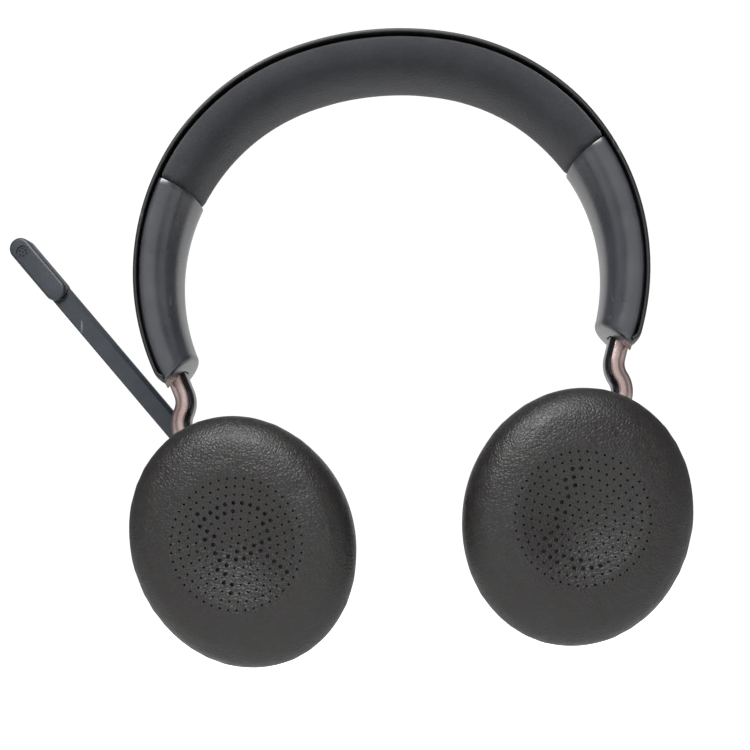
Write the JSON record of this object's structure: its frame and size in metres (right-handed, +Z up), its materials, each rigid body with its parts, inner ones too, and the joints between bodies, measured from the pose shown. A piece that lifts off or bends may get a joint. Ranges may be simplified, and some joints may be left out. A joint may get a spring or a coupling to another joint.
{
  "type": "office headset",
  "caption": "Wireless office headset: padded headband on sliding arms, swivelling oval ear cups with perforated cushions and a swing-up microphone boom.",
  "frame": {"origin": "the point of the crown cushion that rests on the head, mid-width of the band", "axes": "+Z up to the crown, -Y to the wearer's front, +X to the wearer's left; the cups are folded flat so both cushions face -Y"},
  "size_m": [0.2052, 0.0471, 0.1862],
  "materials": {
    "shell_plastic": "fine-textured black plastic",
    "satin_plastic": "satin grey-black moulded plastic",
    "boom_plastic": "fine-textured blue-grey plastic",
    "crown_fabric": "soft matt knitted fabric over foam",
    "ear_leatherette": "black leatherette with fine pebble grain over foam",
    "bronze_metal": "satin rose-bronze anodised",
    "gloss_black": "polished black plastic",
    "steel": "plain steel",
    "inner_plastic": "plain black moulding",
    "speaker_metal": "dark coated steel",
    "paper_cone": "thin matt film",
    "mesh_cloth": "open black acoustic cloth",
    "board": "dark green solder mask",
    "light_diffuser": "milky translucent ring",
    "contact_gold": "gold-plated contacts",
    "battery_wrap": "foil-wrapped cell",
    "ribbon": "amber polyimide film"
  },
  "bodies": {
    "headband": {"headband_shell": "shell_plastic", "headband_spring": "steel", "ribbon_cable": "ribbon", "crown_cushion": "crown_fabric", "detent_springs": "steel", "left_end_cover": "satin_plastic", "left_slider_guide": "inner_plastic", "left_guide_screws": "steel", "right_end_cover": "satin_plastic", "right_slider_guide": "inner_plastic", "right_guide_screws": "steel"},
    "left_arm_body": {"left_arm": "bronze_metal", "left_arm_strip": "gloss_black", "left_slider_tongue": "steel", "left_swivel_pin": "steel"},
    "left_knuckle_body": {"left_knuckle": "inner_plastic", "left_tilt_pins": "steel"},
    "left_cup": {"left_cup_housing": "shell_plastic", "left_cup_cap": "shell_plastic", "left_baffle": "inner_plastic", "left_cushion_carrier": "inner_plastic", "left_cushion": "ear_leatherette", "left_speaker_frame": "speaker_metal", "left_speaker_cone": "paper_cone", "left_acoustic_cloth": "mesh_cloth", "left_circuit_board": "board", "left_light_ring": "light_diffuser", "left_cup_screws": "steel", "battery": "battery_wrap", "charging_contacts": "contact_gold", "trim_ring": "shell_plastic"},
    "right_arm_body": {"right_arm": "bronze_metal", "right_arm_strip": "gloss_black", "right_slider_tongue": "steel", "right_swivel_pin": "steel"},
    "right_knuckle_body": {"right_knuckle": "inner_plastic", "right_tilt_pins": "steel"},
    "right_cup": {"right_cup_housing": "shell_plastic", "right_cup_cap": "shell_plastic", "right_baffle": "inner_plastic", "right_cushion_carrier": "inner_plastic", "right_cushion": "ear_leatherette", "right_speaker_frame": "speaker_metal", "right_speaker_cone": "paper_cone", "right_acoustic_cloth": "mesh_cloth", "right_circuit_board": "board", "right_light_ring": "light_diffuser", "right_cup_screws": "steel", "usb_socket": "steel"},
    "boom": {"boom_arm": "boom_plastic", "boom_tip": "boom_plastic", "mic_grille": "steel", "mic_capsule": "speaker_metal"},
    "mute_button": {"mute_button": "gloss_black"},
    "call_button": {"call_button": "gloss_black"},
    "assistant_button": {"assistant_button": "gloss_black"},
    "volume_up": {"volume_up": "shell_plastic"},
    "volume_down": {"volume_down": "shell_plastic"},
    "power_switch": {"power_switch": "inner_plastic"}
  },
  "joints": [
    {"name": "left_arm_slide", "type": "slide", "parent": "headband", "child": "left_arm_body", "axis": [-0.309, 0, -0.9511], "range_m": [0, 0.02]},
    {"name": "left_cup_swivel", "type": "hinge", "parent": "left_arm_body", "child": "left_knuckle_body", "pos_m": [0.05779, 0, -0.11808], "axis": [-0.309, 0, -0.9511], "range_deg": [0, 100]},
    {"name": "left_cup_tilt", "type": "hinge", "parent": "left_knuckle_body", "child": "left_cup", "pos_m": [0.05779, 0, -0.11808], "axis": [-0.9511, 0, 0.309], "range_deg": [-8, 8]},
    {"name": "right_arm_slide", "type": "slide", "parent": "headband", "child": "right_arm_body", "axis": [0.309, 0, -0.9511], "range_m": [0, 0.02]},
    {"name": "right_cup_swivel", "type": "hinge", "parent": "right_arm_body", "child": "right_knuckle_body", "pos_m": [-0.05779, 0, -0.11808], "axis": [-0.309, 0, 0.9511], "range_deg": [0, 100]},
    {"name": "right_cup_tilt", "type": "hinge", "parent": "right_knuckle_body", "child": "right_cup", "pos_m": [-0.05779, 0, -0.11808], "axis": [-0.9511, 0, -0.309], "range_deg": [-8, 8]},
    {"name": "boom_swing", "type": "hinge", "parent": "right_cup", "child": "boom", "pos_m": [-0.0479, 0, -0.1359], "axis": [0, -1, 0], "range_deg": [0, 140]},
    {"name": "mute_button_press", "type": "slide", "parent": "boom", "child": "mute_button", "axis": [0, -1, 0], "range_m": [0, 0.0004], "stiffness_N_per_m": 1200, "springref_m": -0.0004},
    {"name": "call_button_press", "type": "slide", "parent": "right_cup", "child": "call_button", "axis": [0, -1, 0], "range_m": [0, 0.0005], "stiffness_N_per_m": 2500, "springref_m": -0.0005},
    {"name": "assistant_button_press", "type": "slide", "parent": "left_cup", "child": "assistant_button", "axis": [0, -1, 0], "range_m": [0, 0.0005], "stiffness_N_per_m": 2500, "springref_m": -0.0005},
    {"name": "volume_up_press", "type": "slide", "parent": "right_cup", "child": "volume_up", "axis": [0.6947, 0, 0.7193], "range_m": [0, 0.0004], "stiffness_N_per_m": 1200, "springref_m": -0.0004},
    {"name": "volume_down_press", "type": "slide", "parent": "right_cup", "child": "volume_down", "axis": [0.3746, 0, 0.9272], "range_m": [0, 0.0004], "stiffness_N_per_m": 1200, "springref_m": -0.0004},
    {"name": "power_switch_slide", "type": "slide", "parent": "right_cup", "child": "power_switch", "axis": [-0.5592, 0, -0.829], "range_m": [0, 0.003]}
  ]
}
